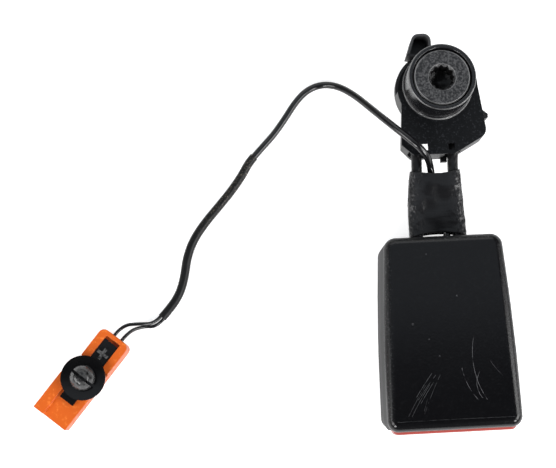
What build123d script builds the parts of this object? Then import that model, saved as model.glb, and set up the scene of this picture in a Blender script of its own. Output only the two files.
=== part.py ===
"""Seat belt buckle on a wire-rope stalk, with its anchor bolt and buckle-switch lead.

Millimetres, +Z up. The origin is on the anchor bolt's axis, at the face that seats on the car body.
The stalk runs along -Y from the anchor to the buckle head, whose mouth faces -Y.
"""

from build123d import *
from math import cos, radians, sin, tan
import os

os.makedirs("parts", exist_ok=True)

# Clearances
running_gap = 0.05
slide_gap = 0.3
seat_gap = 0.1

# Anchor bolt: shoulder bolt with a flat round head and a 12-point socket
bolt_reach = 9.0
thread_radius = 5.0
thread_tip = 1.0
shoulder_radius = 6.0
bolt_head_radius = 10.9
bolt_head_height = 9.8
bolt_head_chamfer = 0.45
socket_point_radius = 5.0
socket_root_radius = 4.15
socket_points = 12
socket_depth = 7.0
socket_cone = 2.0
socket_mouth_radius = 5.3

# Anchor: bush, collar, housing and cover
bush_wall = 1.25
collar_radius = 13.1
collar_wall = 1.7
collar_flange_radius = 13.8
collar_flange_height = 1.4
collar_floor = 2.5
collar_height = 14.0
washer_height = 0.9
anchor_back = 0.6
anchor_floor = 1.4
anchor_height = 11.0
anchor_cover_thickness = 1.0
anchor_wall = 1.2
anchor_tuck = 1.2
anchor_radius = 15.9
skirt_right_x = 18.3
skirt_right_y = -20.0
skirt_left_x = -15.6
skirt_left_y = -23.0
skirt_end_y = -27.2
skirt_end_left_x = -11.2
skirt_end_right_x = 5.2
skirt_top_inset = 1.7
skirt_top_y = -1.5
skirt_corner = 2.0
skirt_right_corner = 4.0
cover_window = 2.6
cover_window_left = (-6.6, -24.2)
cover_window_right = (4.0, -24.4)
drain_hole = 3.9
drain_hole_place = (-5.1, -22.0)
disc_rim_height = 2.2

# Hook lug, nub and tab on the anchor housing
lug_left_x = -11.0
lug_left_drop = 2.3
lug_top_left_x = -8.0
lug_top_right_x = -1.0
lug_reach = 6.4
lug_root = 3.0
lug_wall = 1.0
lug_rib_gap = 2.2
lug_height = 8.4
lug_corner = 3.0
nub_y = -11.4
nub_length = 5.2
nub_reach = 2.4
tab_x = 1.8
tab_width = 2.5
tab_reach = 1.6
tab_height = 2.0

# Wire rope and stalk sleeve
rope_diameter = 4.2
rope_z = 5.5
thimble_web = 0.8
thimble_flange = 1.6
thimble_groove_base = 2.4
thimble_groove_mouth = 4.6
rope_exit_x = -2.4
rope_exit_y = -28.0
rope_exit_spacing = 14.0
rope_head_spacing = 16.0
rope_shoulder_y = -4.0
leg_slot_gap = 1.2
sleeve_top_y = -32.8
sleeve_head_gap = 0.9
sleeve_wall = 0.5
sleeve_gap = 0.1
sleeve_top_depth = 7.2
sleeve_head_depth = 5.6
sleeve_end_sag = 1.6
sleeve_flare = 0.8

# Buckle head: two covers, bowed sides, wider at the mouth
head_x = -3.0
head_y = -60.3
head_length = 73.5
head_back_width = 45.0
head_middle_width = 49.4
head_mouth_width = 51.0
head_back_corner = 4.6
head_mouth_corner = 4.2
head_top_round = 3.6
head_floor_round = 1.6
lip_line_width = 0.3
lip_line_depth = 0.15
cover_wall = 1.6
cover_roof = 2.0
parting_height = 12.4
lip_height = 24.2
lower_end_setback = 1.4
stalk_opening_width = 24.0
stalk_opening_height = 9.4

# Steel frame in the head
frame_thickness = 2.2
arm_gap = 0.8
arm_thickness = 2.4
head_side_room = 3.9
frame_base_height = 8.3
frame_back = 7.0
frame_front = 62.0
flange_back = 24.0
flange_front = 55.5
flange_height = 25.0
roof_room = 1.0
yoke_height = 19.0
ferrule_radius = 4.0
ferrule_length = 12.0
rib_width = 1.8
rib_inset = 5.0

# Latch, lock pin and ejector
latch_pivot = 30.0
latch_pivot_height = 17.8
latch_pivot_radius = 1.5
latch_barrel_radius = 2.0
latch_thickness = 2.0
latch_front = 54.0
latch_tooth_length = 3.0
latch_tooth_tip = 14.9
latch_side_gap = 0.45
lock_pin_radius = 2.0
lock_pin_place = 39.5
lock_pin_travel = 4.0
lock_pin_overhang = 2.0
lock_ramp_start = 10.4
lock_ramp_length = 4.2
lock_ramp_rise = 1.9
ejector_front = 56.0
ejector_length = 12.0
ejector_width = 18.0
ejector_thickness = 2.0
ejector_travel = 11.0
ejector_back_thickness = 2.5
ejector_foot_width = 5.4
ejector_foot_length = 8.0
spring_tab = 27.4
spring_tab_thickness = 1.2
spring_tab_width = 6.0
ejector_spring_radius = 1.9
ejector_spring_wire = 0.6
ejector_spring_turns = 5
latch_spring_place = 33.4
latch_spring_radius = 1.9
latch_spring_wire = 0.6
latch_spring_turns = 3

# Press button and its springs
button_travel = 6.0
button_reach = 1.0
button_back = 62.0
button_side_gap = 0.4
button_base_height = 15.6
button_top_gap = 0.4
button_wall = 1.8
button_round = 1.2
arm_back = 34.0
arm_height = 7.0
button_spring_length = 13.0
button_spring_radius = 1.5
button_spring_wire = 0.5
button_spring_turns = 5
spring_rib_thickness = 2.2
spring_rib_width = 5.0

# Tongue slot in the mouth
slot_inset = 1.5
slot_base_drop = 0.3

# Buckle switch
switch_back = 22.8
switch_front = 32.0
switch_side_gap = 0.6
switch_inner = 3.8
switch_foot_front = 26.4
switch_height = 4.0
switch_boss_half = 2.5
board_thickness = 1.0
board_margin = 1.0
magnet_radius = 1.5
magnet_height = 1.6
magnet_x = -6.4

# Lead, heat-shrink sleeve, wires
lead_diameter = 2.8
lead_sleeve_diameter = 3.5
inner_lead_shift = 4.3
wire_diameter = 1.4
wire_spread = 1.5
wire_step = 0.8

# Connector and its fixing clip
connector_x = -130.1
connector_y = -91.8
connector_turn = -130.1
connector_length = 40.2
connector_width = 12.9
connector_height = 10.0
connector_round = 2.4
hood_length = 21.0
hood_width = 15.2
hood_rib_width = 4.6
hood_rib_height = 1.4
hood_rib_length = 17.0
rim_wall = 1.8
rim_height = 2.2
rim_length = 13.6
terminal_pitch = 3.5
terminal_level = 5.0
terminal_cavity = 2.4
terminal_width = 1.6
terminal_length = 26.0
clip_start = 3.0
clip_length = 28.0
clip_width = 6.2
clip_thickness = 1.8
clip_disc_radius = 8.6
clip_disc_thickness = 1.2
clip_disc_place = 20.0
clip_disc_rise = 1.4
clip_dish_rise = 1.0
dart_stem_radius = 1.8
dart_radius = 4.9
dart_height = 6.6
dart_slit = 1.1
cross_place = 8.4
cross_length = 4.8
cross_width = 1.2
cross_height = 0.9

# Levels and places that follow from the sizes above
floor_z = -bolt_reach
bush_radius = shoulder_radius + running_gap + bush_wall
cover_base = anchor_height - anchor_cover_thickness
collar_top = anchor_height + collar_height
washer_seat = anchor_height + collar_floor
bolt_head_seat = washer_seat + washer_height + seat_gap
bolt_head_top = bolt_head_seat + bolt_head_height
anchor_deck = anchor_back + anchor_floor
rope_radius = rope_diameter / 2
thimble_bore = bush_radius + running_gap
rope_loop_radius = thimble_bore + thimble_web + running_gap + rope_radius
rope_level = rope_z - floor_z
frame_deck = frame_base_height + frame_thickness
head_least_width = min(head_middle_width, head_mouth_width)
frame_width = head_least_width - 2 * (cover_wall + head_side_room + arm_thickness + arm_gap)
flange_inner = frame_width / 2 - frame_thickness
arm_offset = frame_width / 2 + arm_gap + arm_thickness / 2
lock_pin_length = frame_width + 2 * lock_pin_overhang
switch_outer = flange_inner - switch_side_gap
slot_width = frame_width - 2 * slot_inset
rib_spread = frame_width - 2 * rib_inset
button_width = head_mouth_width - 2 * (cover_wall + button_side_gap)
latch_half_width = flange_inner - latch_side_gap
latch_top = latch_pivot_height + latch_thickness / 2
lock_pin_height = latch_top + 2 * seat_gap + lock_pin_radius
ejector_base = frame_deck + 0.5 * slide_gap
ejector_back = ejector_front - ejector_length
ejector_spring_height = frame_deck + slide_gap + ejector_spring_radius + ejector_spring_wire / 2
arm_level = lock_pin_height
cover_ceiling = max(flange_height, arm_level + arm_height / 2) + roof_room
head_height = cover_ceiling + cover_roof
button_top = lip_height - button_top_gap
button_front = head_length + button_reach
head_end = head_length - lower_end_setback

head = Plane(origin=(head_x, head_y, floor_z))
head_side = Plane(origin=(head_x, head_y, floor_z), x_dir=(0, -1, 0), z_dir=(-1, 0, 0))
head_back = Plane(origin=(head_x, head_y, floor_z), x_dir=(-1, 0, 0), z_dir=(0, 1, 0))
connector = Plane(
    origin=(connector_x, connector_y, floor_z),
    x_dir=(cos(radians(connector_turn)), sin(radians(connector_turn)), 0),
    z_dir=(0, 0, 1),
)

# Routes of the lead, points chosen along its lie in the photograph
lead_route = [
    (-4.0, -38.0, 6.6),
    (-4.12, -32.4, 6.84),
    (-6.0, -28.6, 13.0),
    (-9.6, -25.0, 16.2),
    (-13.6, -21.4, 16.2),
    (-19.6, -15.2, 13.6),
    (-25.8, -7.4, 7.4),
    (-31.6, 0.4, 0.4),
    (-37.6, 6.0, -5.0),
    (-44.2, 7.9, -7.6),
    (-50.6, 5.6, -7.6),
    (-55.6, 0.6, -7.6),
    (-59.8, -5.6, -7.6),
    (-64.6, -12.0, -7.5),
    (-69.4, -17.0, -7.25),
    (-73.4, -21.2, -7.25),
]
sleeve_route = [
    (-73.4, -21.2, -7.25),
    (-75.6, -23.51, -7.25),
    (-78.4, -28.4, -7.25),
    (-82.8, -34.4, -7.25),
    (-88.6, -41.0, -7.25),
    (-94.4, -47.4, -7.25),
    (-99.2, -54.0, -7.25),
    (-102.0, -61.0, -7.25),
    (-103.2, -68.2, -7.25),
    (-105.2, -74.8, -7.25),
    (-108.8, -80.2, -7.25),
    (-112.8, -84.4, -7.25),
]
wire_start = Plane(
    origin=sleeve_route[-1],
    x_dir=(0, 0, 1),
    z_dir=Vector(*sleeve_route[-1]) - Vector(*sleeve_route[-2]),
)
wire_routes = [
    [
        wire_start.from_local_coords((wire_step / 2, wire_spread / 2, 0)),
        wire_start.from_local_coords((wire_step / 2, wire_spread / 2, 3.8)),
        (-121.5, -86.6, -4.4),
        connector.from_local_coords((-5.0, -terminal_pitch / 2, terminal_level)),
        connector.from_local_coords((0, -terminal_pitch / 2, terminal_level)),
    ],
    [
        wire_start.from_local_coords((-wire_step / 2, -wire_spread / 2, 0)),
        wire_start.from_local_coords((-wire_step / 2, -wire_spread / 2, 4.2)),
        (-120.3, -87.5, -6.6),
        connector.from_local_coords((-4.6, terminal_pitch / 2, terminal_level)),
        connector.from_local_coords((0, terminal_pitch / 2, terminal_level)),
    ],
]


def head_plan(level, inset, setback=0.0):
    """Plan of the head, drawn in by inset and with the mouth end set back."""
    back = -inset
    mouth = -head_length + inset + setback
    half_back = head_back_width / 2 - inset
    half_mouth = head_mouth_width / 2 - inset
    half_middle = head_middle_width / 2 - inset
    with BuildSketch(head.offset(level)) as plan:
        with BuildLine():
            right = ThreePointArc((half_back, back), (half_middle, (back + mouth) / 2), (half_mouth, mouth))
            Line((half_mouth, mouth), (-half_mouth, mouth))
            ThreePointArc((-half_mouth, mouth), (-half_middle, (back + mouth) / 2), (-half_back, back))
            Line((-half_back, back), right @ 0)
        make_face()
        fillet(plan.vertices().group_by(Axis.Y)[-1], head_back_corner - inset)
        fillet(plan.vertices().group_by(Axis.Y)[0], head_mouth_corner - inset)
    return plan.sketch


def anchor_plan(level, inset, tuck=0.0):
    """Plan of the anchor: a round end about the bolt and a skirt, whose left side can be tucked in."""
    with BuildSketch(Plane.XY.offset(level)) as plan:
        with BuildLine():
            Polyline(
                (skirt_top_inset + tuck - anchor_radius, 0),
                (skirt_left_x + tuck / 2, skirt_left_y),
                (skirt_end_left_x, skirt_end_y),
                (skirt_end_right_x, skirt_end_y),
                (skirt_right_x, skirt_right_y),
                (anchor_radius, 0),
                close=True,
            )
        make_face()
        fillet(plan.vertices().group_by(Axis.Y)[0], skirt_corner)
        fillet(plan.vertices().sort_by(Axis.X)[-1], skirt_right_corner)
        Circle(anchor_radius)
        if inset > 0:
            offset(amount=-inset, kind=Kind.INTERSECTION)
    return plan.sketch


def lead_tube(route, diameter):
    """A round lead along straight runs joined by arcs as large as the runs allow."""
    points = [Vector(*point) for point in route]
    runs = [after - before for before, after in zip(points, points[1:])]
    radii = [
        0.45 * min(before.length, after.length) / tan(radians(before.get_angle(after)) / 2)
        for before, after in zip(runs, runs[1:])
    ]
    with BuildLine() as path:
        FilletPolyline(*points, radius=radii)
    with BuildSketch(Plane(path.line @ 0, z_dir=path.line % 0)) as section:
        Circle(diameter / 2)
    sweep(section.sketch, path=path.line)


def coil_spring(base, length, radius, wire, turns):
    """A coil of square wire that stands on the base plane, its ends within the length."""
    height = length - 2 * wire
    with BuildLine() as coil:
        Helix(
            pitch=height / turns,
            height=height,
            radius=radius,
            center=base.offset(wire).origin,
            direction=base.z_dir,
        )
    with BuildSketch(Plane(coil.line @ 0, x_dir=base.z_dir, z_dir=coil.line % 0)) as section:
        Rectangle(wire, wire)
    sweep(section.sketch, path=coil.line, is_frenet=True)


# Anchor bolt
with BuildPart() as anchor_bolt:
    with BuildSketch(Plane.XY.offset(floor_z)):
        Circle(thread_radius)
    extrude(amount=bolt_reach)
    chamfer(anchor_bolt.edges().group_by(Axis.Z)[0], thread_tip)
    with BuildSketch(Plane.XY):
        Circle(shoulder_radius)
    extrude(amount=bolt_head_seat)
    with BuildSketch(Plane.XY.offset(bolt_head_seat)):
        Circle(bolt_head_radius)
    extrude(amount=bolt_head_height)
    chamfer(anchor_bolt.edges().group_by(Axis.Z)[-1], bolt_head_chamfer)
    with BuildSketch(Plane.XY.offset(bolt_head_top)):
        with BuildLine():
            Polyline(
                *[
                    Vector(socket_point_radius if step % 2 == 0 else socket_root_radius, 0).rotate(
                        Axis.Z, step * 180 / socket_points
                    )
                    for step in range(2 * socket_points)
                ],
                close=True,
            )
        make_face()
    extrude(amount=-socket_depth, mode=Mode.SUBTRACT)
    with BuildSketch(Plane.XY.offset(bolt_head_top - socket_depth)):
        Circle(socket_root_radius)
    extrude(amount=-socket_cone, taper=60, mode=Mode.SUBTRACT)
    with BuildSketch(Plane.XY.offset(bolt_head_top)):
        Circle(socket_mouth_radius)
    extrude(amount=socket_root_radius - socket_mouth_radius, taper=45, mode=Mode.SUBTRACT)
anchor_bolt.part.label = "anchor_bolt"
export_step(anchor_bolt.part, "parts/anchor_bolt.step")

# Steel bush round the bolt's shoulder
with BuildPart() as anchor_bush:
    with BuildSketch(Plane.XY):
        Circle(bush_radius)
        Circle(shoulder_radius + running_gap, mode=Mode.SUBTRACT)
    extrude(amount=washer_seat - seat_gap)
anchor_bush.part.label = "anchor_bush"
export_step(anchor_bush.part, "parts/anchor_bush.step")

# Spring washer under the bolt head
with BuildPart() as wave_washer:
    with BuildSketch(Plane.XY.offset(washer_seat)):
        Circle(bolt_head_radius - slide_gap)
        Circle(shoulder_radius + slide_gap, mode=Mode.SUBTRACT)
    extrude(amount=washer_height)
wave_washer.part.label = "wave_washer"
export_step(wave_washer.part, "parts/wave_washer.step")

# Collar that stands on the anchor cover and holds the bolt head
with BuildPart() as bolt_collar:
    with BuildSketch(Plane.XY.offset(anchor_height)):
        Circle(collar_radius)
    extrude(amount=collar_height)
    chamfer(bolt_collar.edges().group_by(Axis.Z)[-1], collar_wall / 4)
    with BuildSketch(Plane.XY.offset(anchor_height)):
        Circle(collar_flange_radius)
    extrude(amount=collar_flange_height)
    with BuildSketch(Plane.XY.offset(washer_seat)):
        Circle(collar_radius - collar_wall)
    extrude(amount=collar_height, mode=Mode.SUBTRACT)
    with BuildSketch(Plane.XY.offset(anchor_height)):
        Circle(bush_radius + seat_gap)
    extrude(amount=collar_floor, mode=Mode.SUBTRACT)
bolt_collar.part.label = "bolt_collar"
export_step(bolt_collar.part, "parts/bolt_collar.step")

# Grooved ring that the rope hairpin lies round
with BuildPart() as rope_thimble:
    with BuildSketch(Plane.XZ):
        with Locations((thimble_bore, rope_z)):
            Rectangle(
                thimble_web + thimble_flange,
                rope_diameter + 2 * thimble_web,
                align=(Align.MIN, Align.CENTER),
            )
        with BuildLine():
            Polyline(
                (thimble_bore + thimble_web, rope_z - thimble_groove_base / 2),
                (thimble_bore + thimble_web + thimble_flange, rope_z - thimble_groove_mouth / 2),
                (thimble_bore + thimble_web + thimble_flange, rope_z + thimble_groove_mouth / 2),
                (thimble_bore + thimble_web, rope_z + thimble_groove_base / 2),
                close=True,
            )
        make_face(mode=Mode.SUBTRACT)
    revolve(axis=Axis.Z)
rope_thimble.part.label = "rope_thimble"
export_step(rope_thimble.part, "parts/rope_thimble.step")

# Wire rope: one hairpin from ferrule to ferrule round the thimble
rope_end_y = head_y - frame_back - frame_thickness - ferrule_length
with BuildPart() as wire_rope:
    with BuildLine() as rope_path:
        ThreePointArc(
            (-rope_loop_radius, 0, rope_z),
            (0, rope_loop_radius, rope_z),
            (rope_loop_radius, 0, rope_z),
        )
        for side in (-1, 1):
            leg = [
                (side * rope_loop_radius, 0, rope_z),
                (side * rope_loop_radius, rope_shoulder_y, rope_z),
                (rope_exit_x + side * rope_exit_spacing / 2, rope_exit_y, rope_z),
                (head_x + side * rope_head_spacing / 2, head_y, rope_z),
                (head_x + side * rope_head_spacing / 2, rope_end_y, rope_z),
            ]
            FilletPolyline(*leg, radius=[-2 * rope_shoulder_y, 10 * rope_diameter, 10 * rope_diameter])
    rope_start = Plane((head_x - rope_head_spacing / 2, rope_end_y, rope_z), z_dir=(0, 1, 0))
    with BuildSketch(rope_start):
        Circle(rope_radius)
    sweep()
wire_rope.part.label = "wire_rope"
export_step(wire_rope.part, "parts/wire_rope.step")

# Anchor housing: round disc, flared skirt with walls, hook lug, nub and tab
leg_slot_width = rope_diameter + 2 * leg_slot_gap
skirt_depth = cover_base - anchor_deck
nub_root_x = anchor_radius + (skirt_right_x - anchor_radius) * nub_y / skirt_right_y - anchor_wall / 2
with BuildPart() as anchor_housing:
    extrude(anchor_plan(anchor_back, 0, anchor_tuck), amount=cover_base - anchor_back)
    extrude(anchor_plan(anchor_deck, anchor_wall, anchor_tuck), amount=skirt_depth, mode=Mode.SUBTRACT)
    with BuildSketch(Plane.XY.offset(anchor_deck + disc_rim_height)):
        with Locations((-rope_radius, skirt_top_y)):
            Rectangle(2 * anchor_radius, 2 * anchor_radius, align=(Align.MAX, Align.MIN))
    extrude(amount=skirt_depth, mode=Mode.SUBTRACT)
    with BuildSketch(Plane.XY.offset(anchor_back)) as lug:
        with BuildLine():
            Polyline(
                (lug_left_x, anchor_radius - lug_left_drop),
                (lug_top_left_x, anchor_radius + lug_reach),
                (lug_top_right_x, anchor_radius + lug_reach),
                (lug_top_right_x, anchor_radius - lug_root),
                (lug_top_left_x, anchor_radius - lug_root),
                close=True,
            )
        make_face()
        fillet(lug.vertices().group_by(Axis.Y)[-1], lug_corner)
    extrude(amount=lug_height)
    with BuildSketch(Plane.XY.offset(anchor_deck)):
        add(lug.sketch_local)
        offset(amount=-lug_wall)
        with BuildLine(mode=Mode.PRIVATE) as lug_rib:
            Line(
                (lug_top_left_x + lug_wall + lug_rib_gap, anchor_radius + lug_reach),
                (lug_left_x + lug_wall + lug_rib_gap, anchor_radius - lug_left_drop),
            )
        add(trace(lug_rib.line, lug_wall / 2, mode=Mode.PRIVATE), mode=Mode.SUBTRACT)
    extrude(amount=lug_height, mode=Mode.SUBTRACT)
    with BuildSketch(Plane.XY.offset(rope_z - nub_length / 2)):
        with BuildLine():
            Polyline(
                (nub_root_x, nub_y + nub_length / 2),
                (nub_root_x, nub_y - nub_length / 2),
                (nub_root_x + anchor_wall / 2 + nub_reach, nub_y - nub_length / 4),
                (nub_root_x + anchor_wall / 2 + nub_reach, nub_y),
                close=True,
            )
        make_face()
    extrude(amount=nub_length)
    with BuildSketch(Plane.XY.offset(anchor_back)):
        with Locations((tab_x, skirt_end_y + anchor_wall)):
            Rectangle(tab_width, tab_reach + anchor_wall, align=(Align.CENTER, Align.MAX))
    extrude(amount=tab_height)
    with BuildSketch(Plane.XY.offset(rope_z - rope_radius - slide_gap)):
        for side in (-1, 1):
            with Locations((rope_exit_x + side * rope_exit_spacing / 2, rope_exit_y)):
                Rectangle(leg_slot_width, 6 * anchor_wall)
    extrude(amount=skirt_depth, mode=Mode.SUBTRACT)
    with BuildSketch(Plane.XY.offset(anchor_back)):
        Circle(bush_radius + seat_gap)
        with Locations(drain_hole_place):
            Rectangle(drain_hole, drain_hole)
    extrude(amount=anchor_floor, mode=Mode.SUBTRACT)
anchor_housing.part.label = "anchor_housing"
export_step(anchor_housing.part, "parts/anchor_housing.step")

# Anchor cover: flat face over the skirt, cut away beside the hook lug
with BuildPart() as anchor_cover:
    extrude(anchor_plan(cover_base, 0), amount=anchor_cover_thickness)
    with BuildSketch(Plane.XY.offset(cover_base)):
        with Locations((-rope_radius, skirt_top_y)):
            Rectangle(2 * anchor_radius, 2 * anchor_radius, align=(Align.MAX, Align.MIN))
    extrude(amount=anchor_cover_thickness, mode=Mode.SUBTRACT)
    with BuildSketch(Plane.XY.offset(cover_base)):
        Circle(collar_flange_radius)
    extrude(amount=anchor_cover_thickness)
    with BuildSketch(Plane.XY.offset(cover_base)):
        Circle(bush_radius + seat_gap)
        with Locations(cover_window_left, cover_window_right):
            Rectangle(cover_window, cover_window)
    extrude(amount=anchor_cover_thickness, mode=Mode.SUBTRACT)
anchor_cover.part.label = "anchor_cover"
export_step(anchor_cover.part, "parts/anchor_cover.step")

# Stalk sleeve: flat tube over both rope legs and the lead, its ends curved in
sleeve_head_y = head_y + sleeve_head_gap
sleeve_base = rope_z - rope_radius - sleeve_gap - sleeve_wall
sleeve_margin = rope_diameter + 2 * sleeve_gap
top_share = (sleeve_top_y - head_y) / (rope_exit_y - head_y)
sleeve_top_x = head_x + (rope_exit_x - head_x) * top_share
sleeve_top_width = rope_head_spacing + (rope_exit_spacing - rope_head_spacing) * top_share + sleeve_margin
sleeve_head_width = rope_head_spacing + sleeve_margin + sleeve_flare
sleeve_end_radius = (sleeve_head_width**2 / 4 + sleeve_end_sag**2) / (2 * sleeve_end_sag)
with BuildPart() as stalk_sleeve:
    for wall, kind in ((sleeve_wall, Mode.ADD), (0, Mode.SUBTRACT)):
        for centre_x, end_y, width, depth in (
            (head_x, sleeve_head_y, sleeve_head_width, sleeve_head_depth),
            (sleeve_top_x, sleeve_top_y, sleeve_top_width, sleeve_top_depth),
        ):
            end_place = (centre_x, end_y, sleeve_base + depth / 2)
            with BuildSketch(Plane(origin=end_place, x_dir=(-1, 0, 0), z_dir=(0, 1, 0))):
                RectangleRounded(
                    width + 2 * wall,
                    depth - 2 * sleeve_wall + 2 * wall,
                    rope_radius + sleeve_gap + wall,
                )
        loft(mode=kind)
    with BuildSketch(Plane.XY.offset(sleeve_base)):
        with Locations((sleeve_top_x, sleeve_top_y + sleeve_end_radius - sleeve_end_sag)):
            Circle(sleeve_end_radius)
        with Locations((head_x, sleeve_head_y - sleeve_end_radius + sleeve_end_sag)):
            Circle(sleeve_end_radius)
    extrude(amount=sleeve_top_depth, mode=Mode.SUBTRACT)
stalk_sleeve.part.label = "stalk_sleeve"
export_step(stalk_sleeve.part, "parts/stalk_sleeve.step")

# Swaged ferrules on the rope legs, against the frame's yoke
with BuildPart() as rope_ferrules:
    with BuildSketch(head_back.offset(-frame_back - frame_thickness - seat_gap)):
        for side in (-1, 1):
            with Locations((side * rope_head_spacing / 2, rope_level)):
                Circle(ferrule_radius)
                Circle(rope_radius + running_gap, mode=Mode.SUBTRACT)
    extrude(amount=-ferrule_length)
rope_ferrules.part.label = "rope_ferrules"
export_step(rope_ferrules.part, "parts/rope_ferrules.step")

# Steel frame: base plate, two flanges, rope yoke and the ejector spring's tab
with BuildPart() as buckle_frame:
    with BuildSketch(head.offset(frame_base_height)):
        with Locations((0, -frame_back)):
            Rectangle(frame_width, frame_front - frame_back, align=(Align.CENTER, Align.MAX))
    extrude(amount=frame_thickness)
    with BuildSketch(head.offset(frame_base_height)):
        for side in (-1, 1):
            with Locations((side * (frame_width - frame_thickness) / 2, -flange_back)):
                Rectangle(frame_thickness, flange_front - flange_back, align=(Align.CENTER, Align.MAX))
    extrude(amount=flange_height - frame_base_height)
    with BuildSketch(head_back.offset(-frame_back)):
        with Locations((0, frame_base_height)):
            Rectangle(
                2 * flange_inner,
                yoke_height - frame_base_height,
                align=(Align.CENTER, Align.MIN),
            )
        for side in (-1, 1):
            with Locations((side * rope_head_spacing / 2, rope_level)):
                Circle(rope_radius + slide_gap, mode=Mode.SUBTRACT)
                Rectangle(
                    2 * (rope_radius + slide_gap),
                    yoke_height,
                    align=(Align.CENTER, Align.MIN),
                    mode=Mode.SUBTRACT,
                )
        with Locations((-inner_lead_shift / 2, rope_level - lead_diameter / 2)):
            Rectangle(
                lead_diameter + 2 * slide_gap + rope_radius / 2,
                yoke_height,
                align=(Align.CENTER, Align.MIN),
                mode=Mode.SUBTRACT,
            )
    extrude(amount=-frame_thickness)
    with BuildSketch(head_back.offset(-spring_tab)):
        with Locations((0, frame_base_height)):
            Rectangle(
                spring_tab_width,
                ejector_spring_height + ejector_spring_radius + slide_gap - frame_base_height,
                align=(Align.CENTER, Align.MIN),
            )
    extrude(amount=-spring_tab_thickness)
    with BuildSketch(head.offset(frame_base_height)):
        slot_back = ejector_back - ejector_travel - 2 * slide_gap
        with Locations((0, -slot_back)):
            Rectangle(
                ejector_foot_width + 2 * slide_gap,
                ejector_front - slot_back,
                align=(Align.CENTER, Align.MAX),
            )
    extrude(amount=frame_thickness, mode=Mode.SUBTRACT)
    with BuildSketch(head_side):
        with Locations((latch_pivot, latch_pivot_height)):
            Circle(latch_pivot_radius + running_gap)
        with Locations((lock_pin_place + lock_pin_travel / 2, lock_pin_height)):
            SlotCenterToCenter(lock_pin_travel + 2 * seat_gap, 2 * (lock_pin_radius + seat_gap))
    extrude(amount=frame_width, both=True, mode=Mode.SUBTRACT)
buckle_frame.part.label = "buckle_frame"
export_step(buckle_frame.part, "parts/buckle_frame.step")

# Latch plate: barrel and trunnions at the back, tooth at the front, ramp for the lock pin
latch_base = latch_pivot_height - latch_thickness / 2
tooth_back = latch_front - latch_tooth_length
ramp_back = latch_pivot + lock_ramp_start
with BuildPart() as latch_plate:
    with BuildSketch(head_side):
        with BuildLine():
            Polyline(
                (latch_pivot, latch_top),
                (ramp_back, latch_top),
                (ramp_back + lock_ramp_length, latch_top + lock_ramp_rise),
                (ramp_back + 2 * lock_ramp_length, latch_top),
                (latch_front, latch_top),
                (latch_front, latch_base),
                (tooth_back + latch_tooth_length / 2, latch_tooth_tip),
                (tooth_back, latch_tooth_tip),
                (tooth_back, latch_base),
                (latch_pivot, latch_base),
                close=True,
            )
        make_face()
        with Locations((latch_pivot, latch_pivot_height)):
            Circle(latch_barrel_radius)
    extrude(amount=latch_half_width, both=True)
    with BuildSketch(head_side):
        with Locations((latch_pivot, latch_pivot_height)):
            Circle(latch_pivot_radius)
    extrude(amount=frame_width / 2 - seat_gap, both=True)
latch_plate.part.label = "latch_plate"
export_step(latch_plate.part, "parts/latch_plate.step")

# Lock pin: cross pin that slides over the latch's ramp
with BuildPart() as lock_pin:
    with BuildSketch(head_side):
        with Locations((lock_pin_place, lock_pin_height)):
            Circle(lock_pin_radius)
    extrude(amount=lock_pin_length / 2, both=True)
    chamfer(lock_pin.edges(), lock_pin_radius / 5)
lock_pin.part.label = "lock_pin"
export_step(lock_pin.part, "parts/lock_pin.step")

# Ejector: slide with a foot in the frame's slot and a peg for its spring
ejector_back_top = ejector_spring_height + ejector_spring_radius
with BuildPart() as ejector:
    with BuildSketch(head.offset(ejector_base)) as ejector_plan:
        with Locations((0, -ejector_back)):
            Rectangle(ejector_width, ejector_length, align=(Align.CENTER, Align.MAX))
        with Locations((0, -ejector_front)):
            Circle(ejector_foot_width / 2, mode=Mode.SUBTRACT)
    extrude(amount=ejector_thickness)
    with BuildSketch(head.offset(ejector_base)):
        with Locations((0, -ejector_back)):
            Rectangle(ejector_width / 2, ejector_back_thickness, align=(Align.CENTER, Align.MAX))
    extrude(amount=ejector_back_top - ejector_base)
    with BuildSketch(head.offset(frame_base_height + slide_gap)):
        with Locations((0, -ejector_back)):
            Rectangle(ejector_foot_width, ejector_foot_length, align=(Align.CENTER, Align.MAX))
    extrude(amount=ejector_base - frame_base_height)
    with BuildSketch(head_back.offset(-ejector_back)):
        with Locations((0, ejector_spring_height)):
            Circle(ejector_spring_radius - ejector_spring_wire)
    extrude(amount=ejector_back_thickness)
    with BuildSketch(head.offset(ejector_base + ejector_thickness)):
        with Locations((magnet_x, -ejector_back - ejector_length / 2)):
            Circle(magnet_radius + running_gap)
    extrude(amount=-magnet_height, mode=Mode.SUBTRACT)
ejector.part.label = "ejector"
export_step(ejector.part, "parts/ejector.step")

# Magnet set in the ejector for the switch
with BuildPart() as switch_magnet:
    with BuildSketch(head.offset(ejector_base + ejector_thickness)):
        with Locations((magnet_x, -ejector_back - ejector_length / 2)):
            Circle(magnet_radius)
    extrude(amount=-magnet_height)
switch_magnet.part.label = "switch_magnet"
export_step(switch_magnet.part, "parts/switch_magnet.step")

# Ejector spring between the frame's tab and the ejector
spring_seat = spring_tab + spring_tab_thickness
with BuildPart() as ejector_spring:
    coil_spring(
        Plane(
            origin=(head_x, head_y - ejector_back, floor_z + ejector_spring_height),
            x_dir=(1, 0, 0),
            z_dir=(0, 1, 0),
        ),
        ejector_back - spring_seat,
        ejector_spring_radius,
        ejector_spring_wire,
        ejector_spring_turns,
    )
ejector_spring.part.label = "ejector_spring"
export_step(ejector_spring.part, "parts/ejector_spring.step")

# Latch spring between the latch plate and the top cover
with BuildPart() as latch_spring:
    coil_spring(
        Plane(origin=(head_x, head_y - latch_spring_place, floor_z + latch_top)),
        cover_ceiling - latch_top,
        latch_spring_radius,
        latch_spring_wire,
        latch_spring_turns,
    )
latch_spring.part.label = "latch_spring"
export_step(latch_spring.part, "parts/latch_spring.step")

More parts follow.
